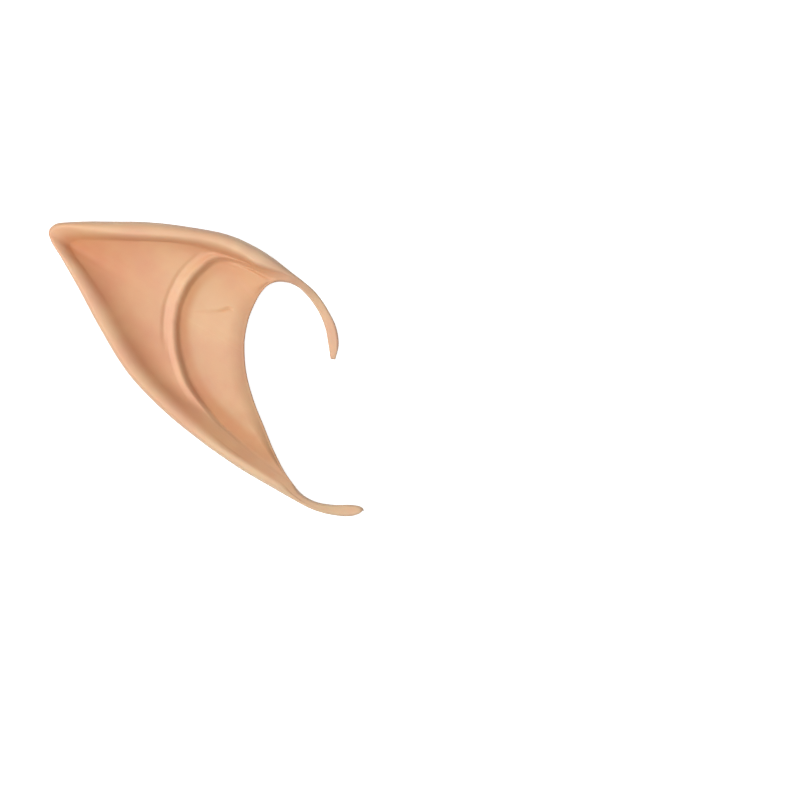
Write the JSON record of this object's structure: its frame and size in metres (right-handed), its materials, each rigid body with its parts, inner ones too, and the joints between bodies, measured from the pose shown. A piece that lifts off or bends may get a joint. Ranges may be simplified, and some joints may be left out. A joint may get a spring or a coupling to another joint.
{
  "type": "elf ear tip",
  "caption": "Pointed elf ear tip in thin latex that slips over the top of an ear, with a rolled rim, an inner ridge and hooks that follow the ear's edge.",
  "frame": {"origin": "centre of the footprint on the surface that the ear lies on", "axes": "+X from the point towards the notch and the hooks, +Y up the ear, +Z out of its front, with the back wall lying on the surface"},
  "size_m": [0.09, 0.0846, 0.0175],
  "materials": {
    "latex_skin": "satin"
  },
  "bodies": {
    "root": {"ear_shell": "latex_skin"}
  },
  "joints": []
}
